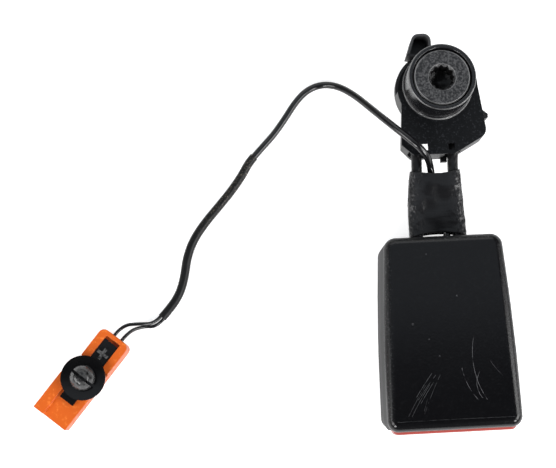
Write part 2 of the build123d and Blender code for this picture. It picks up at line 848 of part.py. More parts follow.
# Buckle switch: moulding beside the ejector spring, with a boss for the lead
switch_base = frame_deck
with BuildPart() as switch_housing:
    with BuildSketch(head.offset(switch_base)):
        with BuildLine():
            Polyline(
                (-switch_outer, -switch_back),
                (switch_boss_half, -switch_back),
                (switch_boss_half, -switch_foot_front),
                (-switch_inner, -switch_foot_front),
                (-switch_inner, -switch_front),
                (-switch_outer, -switch_front),
                close=True,
            )
        make_face()
    extrude(amount=switch_height)
    with BuildSketch(head.offset(switch_base)):
        with Locations((0, -switch_back)):
            Rectangle(
                2 * switch_boss_half,
                switch_foot_front - switch_back,
                align=(Align.CENTER, Align.MAX),
            )
    extrude(amount=rope_level + lead_diameter / 2 - switch_base)
    with BuildSketch(head.offset(switch_base + switch_height)):
        with Locations((-switch_outer + board_margin, -switch_back - board_margin)):
            Rectangle(
                switch_outer - switch_inner - 2 * board_margin,
                switch_front - switch_back - 2 * board_margin,
                align=(Align.MIN, Align.MAX),
            )
    extrude(amount=-2 * board_thickness, mode=Mode.SUBTRACT)
switch_housing.part.label = "switch_housing"
export_step(switch_housing.part, "parts/switch_housing.step")

# Circuit board in the switch's pocket
with BuildPart() as switch_board:
    with BuildSketch(head.offset(switch_base + switch_height - 2 * board_thickness)):
        with Locations((-switch_outer + board_margin + seat_gap, -switch_back - board_margin - seat_gap)):
            Rectangle(
                switch_outer - switch_inner - 2 * (board_margin + seat_gap),
                switch_front - switch_back - 2 * (board_margin + seat_gap),
                align=(Align.MIN, Align.MAX),
            )
    extrude(amount=board_thickness)
switch_board.part.label = "switch_board"
export_step(switch_board.part, "parts/switch_board.step")

# The lead's stretch inside the head and the stalk sleeve, beside the right rope leg
inner_lead_route = [
    (head_x, head_y - switch_back + slide_gap, rope_z),
    (head_x + inner_lead_shift / 3, head_y - frame_back - ferrule_length / 2, rope_z),
    (head_x + inner_lead_shift, head_y + 2 * sleeve_head_gap, rope_z),
    2 * Vector(*lead_route[0]) - Vector(*lead_route[1]),
    lead_route[0],
]
with BuildPart() as inner_lead:
    lead_tube(inner_lead_route, lead_diameter)
inner_lead.part.label = "inner_lead"
export_step(inner_lead.part, "parts/inner_lead.step")

# Bottom cover: tray with ribs under the frame and jambs beside the tongue slot
with BuildPart() as bottom_cover:
    extrude(head_plan(0, 0, lower_end_setback), amount=parting_height)
    fillet(bottom_cover.edges().group_by(Axis.Z)[0], head_floor_round)
    extrude(head_plan(cover_wall, cover_wall, lower_end_setback), amount=parting_height, mode=Mode.SUBTRACT)
    with BuildSketch(head.offset(cover_wall)):
        for side in (-1, 1):
            with Locations((side * rib_spread / 2, -cover_wall)):
                Rectangle(rib_width, head_end - 2 * cover_wall, align=(Align.CENTER, Align.MAX))
    extrude(amount=frame_base_height - cover_wall)
    with BuildSketch(head.offset(parting_height)):
        with Locations((0, -head_end + cover_wall)):
            Rectangle(
                button_width,
                cover_wall,
                align=(Align.CENTER, Align.MAX),
            )
    extrude(amount=button_base_height - slide_gap - parting_height)
    with BuildSketch(head.offset(frame_deck - slot_base_drop)):
        with Locations((0, -head_end)):
            Rectangle(slot_width, 3 * cover_wall)
    extrude(amount=button_base_height, mode=Mode.SUBTRACT)
bottom_cover.part.label = "bottom_cover"
export_step(bottom_cover.part, "parts/bottom_cover.step")

# Top cover: rounded shell with an open mouth under its lip and an opening for the stalk
spring_rib_front = arm_back - button_spring_length
with BuildPart() as top_cover:
    extrude(head_plan(parting_height, 0), amount=head_height - parting_height)
    fillet(top_cover.faces().sort_by(Axis.Z)[-1].edges(), head_top_round)
    with BuildSketch(head.offset(head_height)):
        with Locations((0, head_top_round + lip_line_width - head_length)):
            Rectangle(head_mouth_width - 2 * head_mouth_corner, lip_line_width)
    extrude(amount=-lip_line_depth, mode=Mode.SUBTRACT)
    extrude(head_plan(parting_height, cover_wall), amount=cover_ceiling - parting_height, mode=Mode.SUBTRACT)
    extrude(
        head_plan(parting_height, cover_wall, -3 * cover_wall),
        amount=lip_height - parting_height,
        mode=Mode.SUBTRACT,
    )
    with BuildSketch(head.offset(parting_height)):
        Rectangle(stalk_opening_width, 3 * cover_wall)
    extrude(amount=rope_level + stalk_opening_height / 2 - parting_height, mode=Mode.SUBTRACT)
    with BuildSketch(head.offset(cover_ceiling)):
        for side in (-1, 1):
            with Locations((side * arm_offset, -spring_rib_front)):
                Rectangle(spring_rib_width, spring_rib_thickness, align=(Align.CENTER, Align.MIN))
    extrude(amount=arm_level - arm_height / 2 - cover_ceiling)
    with BuildSketch(head.offset(cover_ceiling)):
        with Locations((0, -latch_spring_place)):
            Circle(latch_spring_radius - latch_spring_wire)
    extrude(amount=-cover_wall)
top_cover.part.label = "top_cover"
export_step(top_cover.part, "parts/top_cover.step")

# Press button: hollow red end piece that fills the mouth, with two arms along the frame
button_height = button_top - button_base_height
button_inset = cover_wall + button_side_gap
button_run_out = button_inset + button_reach
window_length = button_travel + lock_pin_travel + 2 * slide_gap
with BuildPart() as press_button:
    extrude(head_plan(button_base_height, button_inset, -button_run_out), amount=button_height)
    with BuildSketch(head.offset(button_base_height)):
        Rectangle(head_middle_width + head_mouth_width, 2 * button_back)
    extrude(amount=button_height, mode=Mode.SUBTRACT)
    fillet(press_button.faces().sort_by(Axis.Y)[0].edges().filter_by(Axis.X), button_round)
    with BuildSketch(head.offset(button_base_height + button_wall)):
        with Locations((0, -button_back)):
            Rectangle(
                frame_width + 2 * arm_gap,
                button_front - button_back - button_wall - button_reach,
                align=(Align.CENTER, Align.MAX),
            )
    extrude(amount=button_height - 2 * button_wall, mode=Mode.SUBTRACT)
    with BuildSketch(head.offset(arm_level - arm_height / 2)):
        for side in (-1, 1):
            with Locations((side * arm_offset, -arm_back)):
                Rectangle(
                    arm_thickness,
                    (button_back + button_front) / 2 - arm_back,
                    align=(Align.CENTER, Align.MAX),
                )
    extrude(amount=arm_height)
    with BuildSketch(head_side):
        with Locations((lock_pin_place + window_length / 2 - slide_gap, arm_level)):
            SlotCenterToCenter(window_length, 2 * (lock_pin_radius + seat_gap))
    extrude(amount=frame_width, both=True, mode=Mode.SUBTRACT)
press_button.part.label = "press_button"
export_step(press_button.part, "parts/press_button.step")

# Springs behind the button's arms
with BuildPart() as button_springs:
    for side in (-1, 1):
        coil_spring(
            Plane(
                origin=(head_x + side * arm_offset, head_y - arm_back, floor_z + arm_level),
                x_dir=(1, 0, 0),
                z_dir=(0, 1, 0),
            ),
            button_spring_length,
            button_spring_radius,
            button_spring_wire,
            button_spring_turns,
        )
button_springs.part.label = "button_springs"
export_step(button_springs.part, "parts/button_springs.step")

# Switch lead from the stalk sleeve to the heat-shrink
with BuildPart() as switch_lead:
    lead_tube(lead_route, lead_diameter)
switch_lead.part.label = "switch_lead"
export_step(switch_lead.part, "parts/switch_lead.step")

# Heat-shrink sleeve over the lower half of the lead
with BuildPart() as lead_sleeve:
    lead_tube(sleeve_route, lead_sleeve_diameter)
lead_sleeve.part.label = "lead_sleeve"
export_step(lead_sleeve.part, "parts/lead_sleeve.step")

# Two wires from the heat-shrink to the connector
with BuildPart() as lead_wires:
    for route in wire_routes:
        lead_tube(route, wire_diameter)
lead_wires.part.label = "lead_wires"
export_step(lead_wires.part, "parts/lead_wires.step")

# Connector housing: body, wider hood at the mating end, rim round the clip
hood_start = connector_length - hood_length
hood_shift = (hood_width - connector_width) / 2
with BuildPart() as connector_housing:
    with BuildSketch(connector):
        Rectangle(connector_length, connector_width, align=(Align.MIN, Align.CENTER))
    extrude(amount=connector_height)
    fillet(connector_housing.edges().filter_by(Axis.Z), connector_round)
    with BuildSketch(connector):
        with Locations((hood_start, -hood_shift)):
            Rectangle(hood_length, hood_width, align=(Align.MIN, Align.CENTER))
    extrude(amount=connector_height)
    with BuildSketch(connector.offset(connector_height)) as rim:
        Rectangle(rim_length, connector_width, align=(Align.MIN, Align.CENTER))
        fillet(rim.vertices().group_by(Axis((0, 0, 0), (1, 0, 0)))[0], connector_round)
        with Locations((rim_wall, 0)):
            Rectangle(
                rim_length,
                clip_width + 2 * seat_gap,
                align=(Align.MIN, Align.CENTER),
                mode=Mode.SUBTRACT,
            )
    extrude(amount=rim_height)
    with BuildSketch(connector.offset(connector_height)):
        with Locations((connector_length, -hood_shift - hood_width / 2)):
            Rectangle(hood_rib_length, hood_rib_width, align=(Align.MAX, Align.MIN))
    extrude(amount=hood_rib_height)
    with BuildSketch(connector.offset(terminal_level - terminal_cavity / 2)):
        for side in (-1, 1):
            with Locations((connector_length, side * terminal_pitch / 2)):
                Rectangle(terminal_length + wire_diameter, terminal_cavity, align=(Align.MAX, Align.CENTER))
    extrude(amount=terminal_cavity, mode=Mode.SUBTRACT)
connector_housing.part.label = "connector_housing"
export_step(connector_housing.part, "parts/connector_housing.step")

# Terminals in the connector's cavities
with BuildPart() as connector_terminals:
    with BuildSketch(connector.offset(terminal_level - terminal_cavity / 2)):
        for side in (-1, 1):
            with Locations((connector_length - wire_diameter, side * terminal_pitch / 2)):
                Rectangle(terminal_length, terminal_width, align=(Align.MAX, Align.CENTER))
    extrude(amount=terminal_width)
connector_terminals.part.label = "connector_terminals"
export_step(connector_terminals.part, "parts/connector_terminals.step")

# Fixing clip: slab in the connector's channel, dished disc and a split dart
disc_level = connector_height + clip_thickness + clip_disc_rise
dart_base = disc_level + clip_disc_thickness
clip_side = Plane(
    origin=connector.from_local_coords((clip_disc_place, 0, 0)),
    x_dir=connector.x_dir,
    z_dir=connector.y_dir,
)
with BuildPart() as connector_clip:
    with BuildSketch(connector.offset(connector_height)):
        with Locations((clip_start, 0)):
            Rectangle(clip_length, clip_width, align=(Align.MIN, Align.CENTER))
    extrude(amount=clip_thickness)
    with BuildSketch(connector.offset(connector_height + clip_thickness)):
        with Locations((cross_place, 0)):
            Rectangle(cross_length, cross_width)
            Rectangle(cross_width, cross_length)
    extrude(amount=cross_height)
    with BuildSketch(connector.offset(connector_height)):
        with Locations((clip_disc_place, 0)):
            Circle(clip_width / 2)
    extrude(amount=clip_thickness + clip_disc_rise)
    with BuildSketch(clip_side):
        with BuildLine():
            Polyline(
                (0, -disc_level),
                (clip_width / 2, -disc_level),
                (clip_disc_radius, -disc_level - clip_dish_rise),
                (clip_disc_radius, -dart_base - clip_dish_rise / 2),
                (clip_width / 2, -dart_base),
                (dart_stem_radius, -dart_base),
                (dart_stem_radius, -dart_base - dart_height / 3),
                (dart_radius, -dart_base - dart_height / 3),
                (0.9 * dart_radius, -dart_base - 0.6 * dart_height),
                (0.6 * dart_radius, -dart_base - 0.9 * dart_height),
                (0.3 * dart_radius, -dart_base - dart_height),
                (0, -dart_base - dart_height),
                close=True,
            )
        make_face()
    revolve(axis=Axis(clip_side.origin, (0, 0, 1)))
    with BuildSketch(connector.offset(dart_base + dart_height / 3)):
        with Locations((clip_disc_place, 0)):
            Rectangle(dart_slit, 2 * dart_radius)
    extrude(amount=dart_height, mode=Mode.SUBTRACT)
connector_clip.part.label = "connector_clip"
export_step(connector_clip.part, "parts/connector_clip.step")
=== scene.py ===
import bmesh
import bpy
from math import copysign, pi, radians
from mathutils import Matrix, Vector, noise


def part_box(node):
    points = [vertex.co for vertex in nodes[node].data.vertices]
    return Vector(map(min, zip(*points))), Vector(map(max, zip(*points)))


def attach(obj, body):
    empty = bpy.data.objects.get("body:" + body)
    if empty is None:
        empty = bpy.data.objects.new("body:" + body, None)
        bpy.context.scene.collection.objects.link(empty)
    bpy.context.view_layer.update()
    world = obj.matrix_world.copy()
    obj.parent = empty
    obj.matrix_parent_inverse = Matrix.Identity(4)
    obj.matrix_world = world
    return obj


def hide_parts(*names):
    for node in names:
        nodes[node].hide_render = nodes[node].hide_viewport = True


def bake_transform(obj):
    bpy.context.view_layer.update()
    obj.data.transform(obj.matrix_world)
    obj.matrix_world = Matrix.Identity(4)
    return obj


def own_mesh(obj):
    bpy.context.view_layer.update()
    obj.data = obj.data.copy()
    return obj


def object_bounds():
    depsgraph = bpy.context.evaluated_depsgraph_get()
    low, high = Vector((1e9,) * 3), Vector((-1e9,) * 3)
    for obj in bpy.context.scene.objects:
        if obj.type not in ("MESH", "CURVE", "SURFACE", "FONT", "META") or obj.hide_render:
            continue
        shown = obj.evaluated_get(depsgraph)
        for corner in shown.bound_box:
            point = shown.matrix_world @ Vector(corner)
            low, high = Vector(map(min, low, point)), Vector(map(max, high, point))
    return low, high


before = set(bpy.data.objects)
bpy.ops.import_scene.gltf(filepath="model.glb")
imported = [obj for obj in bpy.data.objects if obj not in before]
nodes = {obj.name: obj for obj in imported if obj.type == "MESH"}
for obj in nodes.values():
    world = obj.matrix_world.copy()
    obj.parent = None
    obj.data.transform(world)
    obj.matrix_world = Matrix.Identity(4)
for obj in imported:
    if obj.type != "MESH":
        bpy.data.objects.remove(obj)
cad_low, cad_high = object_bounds()


# Rope thimble, anchor bush, ferrules and washer. Turned, swaged and pressed steel, zinc plated: the rope
# lies in the thimble's groove, the bush carries the bolt's clamp load and the ferrules end the rope legs.
mm = 0.001


def plug(tree, node, links):
    """Feeds a node's sockets, given by name or index, from other sockets or with plain values."""
    for socket, source in links:
        if hasattr(source, "is_output"):
            tree.links.new(source, node.inputs[socket])
        else:
            node.inputs[socket].default_value = source


def add_node(tree, kind, links=(), **settings):
    """A node with its settings and what feeds its sockets."""
    node = tree.nodes.new(kind)
    for key, value in settings.items():
        setattr(node, key, value)
    plug(tree, node, links)
    return node


def shade_group(name, inputs, outputs):
    """A shader node group with float inputs and named outputs."""
    group = bpy.data.node_groups.new(name, "ShaderNodeTree")
    for label, default in inputs:
        socket = group.interface.new_socket(name=label, in_out="INPUT", socket_type="NodeSocketFloat")
        socket.default_value = default
    for label in outputs:
        group.interface.new_socket(name=label, in_out="OUTPUT", socket_type="NodeSocketFloat")
    return group, group.nodes.new("NodeGroupInput").outputs, group.nodes.new("NodeGroupOutput")


def object_place(tree):
    """The place on the piece."""
    return add_node(tree, "ShaderNodeTexCoord").outputs["Object"]


def stretched(tree, place, scale):
    """A place scaled by a share for each axis, which draws a pattern out."""
    return add_node(tree, "ShaderNodeMapping", [("Vector", place), ("Scale", scale)]).outputs["Vector"]


def cloudy(tree, place, scale, detail=2.0):
    """A cloudy value from 0 to 1."""
    links = [("Vector", place), ("Scale", scale), ("Detail", detail)]
    return add_node(tree, "ShaderNodeTexNoise", links).outputs["Fac"]


def ramp(tree, value, over=(0.0, 1.0), to=(0.0, 1.0), **settings):
    """A value that runs from one end of a range to the other while another runs over its own."""
    links = [
        ("Value", value),
        ("From Min", over[0]),
        ("From Max", over[1]),
        ("To Min", to[0]),
        ("To Max", to[1]),
    ]
    return add_node(tree, "ShaderNodeMapRange", links, **settings).outputs["Result"]


def tint_between(tree, share, dark, light):
    """A colour between two others, each of them three numbers or a socket."""
    ends = [end if hasattr(end, "is_output") else (*end, 1.0) for end in (dark, light)]
    links = [("Factor", share), ("A", ends[0]), ("B", ends[1])]
    return add_node(tree, "ShaderNodeMix", links, data_type="RGBA").outputs["Result"]


def relief(tree, height, depth, strength):
    """The normal of a surface with relief, its depth in millimetres."""
    links = [("Height", height), ("Distance", depth * mm), ("Strength", strength)]
    return add_node(tree, "ShaderNodeBump", links).outputs["Normal"]


def new_finish(name):
    """An empty material with its tree and Principled shader."""
    material = bpy.data.materials.new(name)
    material.use_nodes = True
    return material, material.node_tree, material.node_tree.nodes["Principled BSDF"]


# Mill marks: fine drawn lines over slow cloudy change.
mill_marks, marks_in, marks_out = shade_group("mill_marks", [("Scale", 400.0)], ["Cloud", "Line"])
place = object_place(mill_marks)
drawn_place = stretched(mill_marks, place, (9.0, 1.0, 9.0))
mill_cloud = cloudy(mill_marks, place, marks_in["Scale"], 4.0)
mill_line = cloudy(mill_marks, drawn_place, marks_in["Scale"])
plug(mill_marks, marks_out, [("Cloud", mill_cloud), ("Line", mill_line)])


def steel_finish(name, dark, light, scale, depth):
    """Bare or plated metal, cloudy between two tints, with fine drawn lines."""
    material, tree, shader = new_finish(name)
    marks = add_node(tree, "ShaderNodeGroup", node_tree=mill_marks)
    marks.inputs["Scale"].default_value = scale
    line = marks.outputs["Line"]
    finish = [
        ("Base Color", tint_between(tree, marks.outputs["Cloud"], dark, light)),
        ("Roughness", ramp(tree, line, to=(0.26, 0.48))),
        ("Normal", relief(tree, line, depth, 0.4)),
        ("Metallic", 1.0),
    ]
    plug(tree, shader, finish)
    return material


def dress(node, material, edge=0.15):
    """Gives a CAD node its finish, smooth curves and edges broken by a small round."""
    piece = nodes[node]
    piece.data.materials.clear()
    piece.data.materials.append(material)
    for face in piece.data.polygons:
        face.use_smooth = True
    weld = piece.modifiers.new("weld", "WELD")
    weld.merge_threshold = 0.001 * mm
    flats = piece.modifiers.new("flats", "DECIMATE")
    flats.decimate_type = "DISSOLVE"
    flats.angle_limit = radians(1)
    rounds = piece.modifiers.new("rounds", "BEVEL")
    rounds.limit_method = "ANGLE"
    rounds.angle_limit = radians(38)
    rounds.width = edge * mm
    rounds.segments = 2
    normals = piece.modifiers.new("normals", "WEIGHTED_NORMAL")
    normals.keep_sharp = True


zinc = steel_finish("zinc_plated_steel", (0.42, 0.42, 0.43), (0.62, 0.62, 0.63), 260.0, 0.02)
for node in ("rope_thimble", "anchor_bush", "rope_ferrules", "wave_washer"):
    dress(node, zinc)


# Wire rope. Steel strands in a black plastic coat that shows their lay as faint slanting ridges.
# One hairpin round the anchor, both legs run through the sleeve into the head.
strand_lay = radians(38)
material, tree, shader = new_finish("coated_rope")
place = object_place(tree)
lay = add_node(tree, "ShaderNodeMapping", [("Vector", place), ("Rotation", (0, 0, strand_lay))])
strands = add_node(
    tree,
    "ShaderNodeTexWave",
    [("Vector", lay.outputs["Vector"]), ("Scale", 190.0), ("Distortion", 0.6)],
    bands_direction="X",
)
coat = cloudy(tree, place, 700.0, 3.0)
finish = [
    ("Base Color", tint_between(tree, coat, (0.003, 0.003, 0.0035), (0.012, 0.012, 0.013))),
    ("Normal", relief(tree, strands.outputs["Fac"], 0.12, 0.5)),
    ("Roughness", 0.34),
    ("Specular IOR Level", 0.3),
]
plug(tree, shader, finish)
dress("wire_rope", material)


# Anchor housing and cover. Injection-moulded black nylon: an open tray with hook lug, nub and tab,
# closed by a flat face that snaps on. Fine speckled grain, and the lug's walls carry a painted highlight,
# paler towards their tops.
def maths(tree, operation, *terms):
    """The result of a maths node, its terms being numbers or sockets."""
    return add_node(tree, "ShaderNodeMath", enumerate(terms), operation=operation).outputs["Value"]


def object_axes(tree):
    """The place on the piece as three values."""
    return add_node(tree, "ShaderNodeSeparateXYZ", [("Vector", object_place(tree))]).outputs


moulded_grain, grain_in, grain_out = shade_group(
    "moulded_grain",
    [("Scale", 900.0)],
    ["Height", "Speckle", "Cloud", "Fine"],
)
place = object_place(moulded_grain)
pebbles = add_node(moulded_grain, "ShaderNodeTexVoronoi", [("Vector", place), ("Scale", grain_in["Scale"])])
fine = cloudy(moulded_grain, place, grain_in["Scale"])
effects = [
    ("Height", maths(moulded_grain, "MULTIPLY", pebbles.outputs["Distance"], fine)),
    ("Speckle", ramp(moulded_grain, fine, over=(0.56, 0.72))),
    ("Cloud", cloudy(moulded_grain, place, 60.0, 3.0)),
    ("Fine", fine),
]
plug(moulded_grain, grain_out, effects)


def grain_of(tree, scale):
    """What the moulded grain puts out at a scale."""
    grain = add_node(tree, "ShaderNodeGroup", node_tree=moulded_grain)
    grain.inputs["Scale"].default_value = scale
    return grain.outputs


def moulded_finish(name, dark, light, scale, depth, rough, speckle=0.35, shine=0.32):
    """Moulded plastic between two tints, with grain, pale specks and a cloudy range of roughness."""
    material, tree, shader = new_finish(name)
    grain = grain_of(tree, scale)
    share = maths(tree, "MULTIPLY", grain["Speckle"], speckle)
    finish = [
        ("Base Color", tint_between(tree, share, dark, light)),
        ("Roughness", ramp(tree, grain["Cloud"], to=rough)),
        ("Normal", relief(tree, grain["Height"], depth, 0.6)),
        ("Specular IOR Level", shine),
    ]
    plug(tree, shader, finish)
    return material


def lay_over(material, share, colour):
    """Lays a colour over a finish as far as the share says."""
    tree = material.node_tree
    base = tree.nodes["Principled BSDF"].inputs["Base Color"]
    tree.links.new(tint_between(tree, share, base.links[0].from_socket, colour), base)


anchor_grey = moulded_finish(
    "anchor_nylon",
    (0.010, 0.010, 0.011),
    (0.045, 0.045, 0.048),
    scale=1400.0,
    depth=0.05,
    rough=(0.34, 0.5),
)
anchor_black = moulded_finish(
    "anchor_face_nylon",
    (0.002, 0.0024, 0.0032),
    (0.050, 0.052, 0.060),
    scale=1500.0,
    depth=0.05,
    rough=(0.36, 0.5),
    speckle=0.4,
    shine=0.2,
)
lug_length = 8.0 * mm
painted_highlight_levels = (5.0 * mm, 9.0 * mm)
low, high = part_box("anchor_housing")
tree = anchor_grey.node_tree
axes = object_axes(tree)
# Painted highlight: the lug's walls are painted paler towards their tops.
lug = maths(tree, "GREATER_THAN", axes["Y"], high.y - lug_length)
painted_lug_highlight = ramp(tree, axes["Z"], over=painted_highlight_levels, to=(0.0, 0.8))
lay_over(anchor_grey, maths(tree, "MULTIPLY", lug, painted_lug_highlight), (0.06, 0.06, 0.062))
dress("anchor_housing", anchor_grey, 0.25)
dress("anchor_cover", anchor_black, 0.2)


# Bolt collar. Black moulded cup that keeps the bolt captive; its rim stands just above the bolt head.
# The outer edges of rim and flange are painted pale in patches, a painted edge highlight.
def flat_place(tree, axes):
    """The place on the piece without its height."""
    return add_node(tree, "ShaderNodeCombineXYZ", [("X", axes["X"]), ("Y", axes["Y"])]).outputs["Vector"]


axis_reach, _, reach_out = shade_group("axis_reach", [], ["Reach", "Height"])
axes = object_axes(axis_reach)
reach = add_node(axis_reach, "ShaderNodeVectorMath", [(0, flat_place(axis_reach, axes))], operation="LENGTH")
plug(axis_reach, reach_out, [("Reach", reach.outputs["Value"]), ("Height", axes["Z"])])

rim_depth = 0.5 * mm
rim_width = 1.1 * mm
flange_edge_width = 0.4 * mm
material, tree, shader = new_finish("collar_nylon")
grain = grain_of(tree, 1300.0)
turned = add_node(tree, "ShaderNodeGroup", node_tree=axis_reach).outputs
low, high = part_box("bolt_collar")
rim_top = maths(tree, "GREATER_THAN", turned["Height"], high.z - rim_depth)
rim_outside = maths(tree, "GREATER_THAN", turned["Reach"], high.x - rim_width)
rim_edge = maths(tree, "MULTIPLY", rim_top, rim_outside)
flange_edge = maths(tree, "GREATER_THAN", turned["Reach"], high.x - flange_edge_width)
edges = maths(tree, "MAXIMUM", rim_edge, flange_edge)
patchy = ramp(tree, grain["Cloud"], over=(0.3, 0.6))
# Painted highlight on the outer edges of rim and flange, broken into patches.
painted_highlight_share = maths(tree, "MULTIPLY", edges, patchy)
coat = tint_between(tree, grain["Speckle"], (0.006, 0.006, 0.007), (0.020, 0.020, 0.022))
finish = [
    ("Base Color", tint_between(tree, painted_highlight_share, coat, (0.2, 0.2, 0.2))),
    ("Roughness", ramp(tree, grain["Cloud"], to=(0.16, 0.28))),
    ("Normal", relief(tree, grain["Height"], 0.03, 0.6)),
    ("Specular IOR Level", 0.5),
]
plug(tree, shader, finish)
dress("bolt_collar", material, 0.3)


# Anchor bolt. Forged steel shoulder bolt with a dark phosphate coat, with a painted highlight on the head's
# rim and round the socket's mouth, and painted shade down in the socket. It turns freely in the bush until a
# twelve-point bit drives it home.
bolt_rim_width = 0.55 * mm
socket_edge_reach = 5.35 * mm
socket_edge_line = 0.14 * mm
socket_reach = 5.05 * mm
highlight_depth = 0.7 * mm
shade_depth = 0.9 * mm
material, tree, shader = new_finish("phosphated_bolt")
grain = grain_of(tree, 1500.0)
turned = add_node(tree, "ShaderNodeGroup", node_tree=axis_reach).outputs
low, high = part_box("anchor_bolt")
# Painted highlight: the head's rim and a thin ring at the socket's mouth are painted pale in patches near the
# top.
rim = maths(tree, "GREATER_THAN", turned["Reach"], high.x - bolt_rim_width)
socket_edge = maths(tree, "COMPARE", turned["Reach"], socket_edge_reach, socket_edge_line)
edges = maths(tree, "MAXIMUM", rim, maths(tree, "MULTIPLY", socket_edge, 0.45))
top = maths(tree, "GREATER_THAN", turned["Height"], high.z - highlight_depth)
top_edges = maths(tree, "MULTIPLY", edges, top)
patchy = ramp(tree, grain["Cloud"], over=(0.2, 0.6))
painted_rim_highlight = maths(tree, "MULTIPLY", top_edges, patchy)
blotches = ramp(tree, grain["Fine"], over=(0.42, 0.62))
coat = tint_between(tree, blotches, (0.006, 0.006, 0.007), (0.066, 0.066, 0.068))
highlighted_coat = tint_between(tree, painted_rim_highlight, coat, (0.34, 0.34, 0.34))
# Painted shade: the socket below its mouth is painted near black.
below = maths(tree, "LESS_THAN", turned["Height"], high.z - shade_depth)
within = maths(tree, "LESS_THAN", turned["Reach"], socket_reach)
painted_socket_shade = maths(tree, "MULTIPLY", below, within)
finish = [
    ("Base Color", tint_between(tree, painted_socket_shade, highlighted_coat, (0.003, 0.003, 0.003))),
    ("Normal", relief(tree, grain["Fine"], 0.08, 0.6)),
    ("Roughness", 0.38),
]
plug(tree, shader, finish)
dress("anchor_bolt", material)


# Buckle frame, latch plate and lock pin. Pressed and hardened steel that carries the belt load,
# plated, with the drawn lines of the rolled strip.
strip_steel = steel_finish("rolled_strip_steel", (0.36, 0.36, 0.37), (0.55, 0.55, 0.56), 320.0, 0.03)
for node in ("buckle_frame", "latch_plate", "lock_pin"):
    dress(node, strip_steel)


# Ejector and its magnet. White acetal slide that pushes the tongue out, with a nickel-plated disc
# magnet pressed into its wing for the switch.
acetal = moulded_finish(
    "acetal",
    (0.62, 0.62, 0.59),
    (0.72, 0.72, 0.69),
    scale=800.0,
    depth=0.02,
    rough=(0.32, 0.42),
)
nickel = steel_finish("nickel_plate", (0.50, 0.49, 0.46), (0.62, 0.61, 0.58), 300.0, 0.01)
dress("ejector", acetal)
dress("switch_magnet", nickel, 0.1)


# Buckle switch. Small black nylon moulding on the frame, which senses the magnet in the ejector.
# Its circuit board, green with solder mask, is set in a pocket.
switch_black = moulded_finish(
    "switch_nylon",
    (0.020, 0.020, 0.022),
    (0.05, 0.05, 0.052),
    scale=1200.0,
    depth=0.03,
    rough=(0.4, 0.55),
)
board_green = moulded_finish(
    "solder_mask",
    (0.012, 0.075, 0.030),
    (0.03, 0.14, 0.06),
    scale=500.0,
    depth=0.02,
    rough=(0.25, 0.4),
)
dress("switch_housing", switch_black)
dress("switch_board", board_green, 0.1)


# Coil springs. Drawn spring wire: one behind the ejector, one above the latch, one behind each arm
# of the button.
spring_wire = steel_finish("spring_wire", (0.26, 0.26, 0.28), (0.42, 0.42, 0.44), 500.0, 0.01)
wire_sides = 8
steps_per_turn = 20


def coil(mesh, start, end, radius, wire, turns):
    """Adds a coil of round wire between two points to the mesh."""
    way = end - start
    turn_to_way = Vector((0, 0, 1)).rotation_difference(way).to_matrix().to_4x4()
    to_place = Matrix.Translation(start) @ turn_to_way
    ring = bmesh.ops.create_circle(
        mesh,
        segments=wire_sides,
        radius=wire / 2,
        matrix=to_place @ Matrix.Translation((radius, 0, wire / 2)) @ Matrix.Rotation(pi / 2, 4, "X"),
    )
    ring_edges = list({edge for vert in ring["verts"] for edge in vert.link_edges})
    steps = steps_per_turn * turns
    bmesh.ops.spin(
        mesh,
        geom=ring["verts"] + ring_edges,
        cent=start,
        axis=way.normalized(),
        dvec=way.normalized() * (way.length - wire) / steps,
        angle=2 * pi * turns,
        steps=steps,
    )
    open_rims = [edge for edge in mesh.edges if edge.is_boundary]
    bmesh.ops.holes_fill(mesh, edges=open_rims, sides=wire_sides)


def mesh_piece(name, mesh, material):
    """A smooth object made of a finished mesh."""
    data = bpy.data.meshes.new(name)
    mesh.to_mesh(data)
    mesh.free()
    for face in data.polygons:
        face.use_smooth = True
    data.materials.append(material)
    piece = bpy.data.objects.new(name, data)
    bpy.context.scene.collection.objects.link(piece)
    return piece


def spring_piece(name, node, ends, radius, wire, turns):
    """A piece with a coil between each pair of ends, which stands for a CAD spring."""
    mesh = bmesh.new()
    for start, end in ends:
        coil(mesh, start, end, radius, wire, turns)
    bmesh.ops.recalc_face_normals(mesh, faces=mesh.faces)
    piece = mesh_piece(name, mesh, spring_wire)
    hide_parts(node)
    return piece


low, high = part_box("ejector_spring")
middle = (low + high) / 2
ejector_seat = Vector((middle.x, high.y, middle.z))
ejector_push = Vector((middle.x, low.y, middle.z))
ejector_coil = spring_piece(
    "ejector_coil",
    "ejector_spring",
    [(ejector_seat, ejector_push)],
    radius=1.9 * mm,
    wire=0.6 * mm,
    turns=9,
)
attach(ejector_coil, "buckle")
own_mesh(ejector_coil)

button_radius = 1.5 * mm
button_wire = 0.5 * mm
low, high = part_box("button_springs")
button_seat = Vector((low.x, high.y, (low.z + high.z) / 2))
button_reach = Vector((0, low.y - high.y, 0))
inset = button_radius + button_wire / 2
button_seats = [button_seat + Vector((across, 0, 0)) for across in (inset, high.x - low.x - inset)]
button_coils = spring_piece(
    "button_coils",
    "button_springs",
    [(seat, seat + button_reach) for seat in button_seats],
    radius=button_radius,
    wire=button_wire,
    turns=9,
)
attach(button_coils, "buckle")
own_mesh(button_coils)

low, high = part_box("latch_spring")
middle = (low + high) / 2
latch_end = Vector((middle.x, middle.y, low.z))
roof_end = Vector((middle.x, middle.y, high.z))
latch_coil = spring_piece(
    "latch_coil",
    "latch_spring",
    [(latch_end, roof_end)],
    radius=1.9 * mm,
    wire=0.6 * mm,
    turns=5,
)
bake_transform(latch_coil)


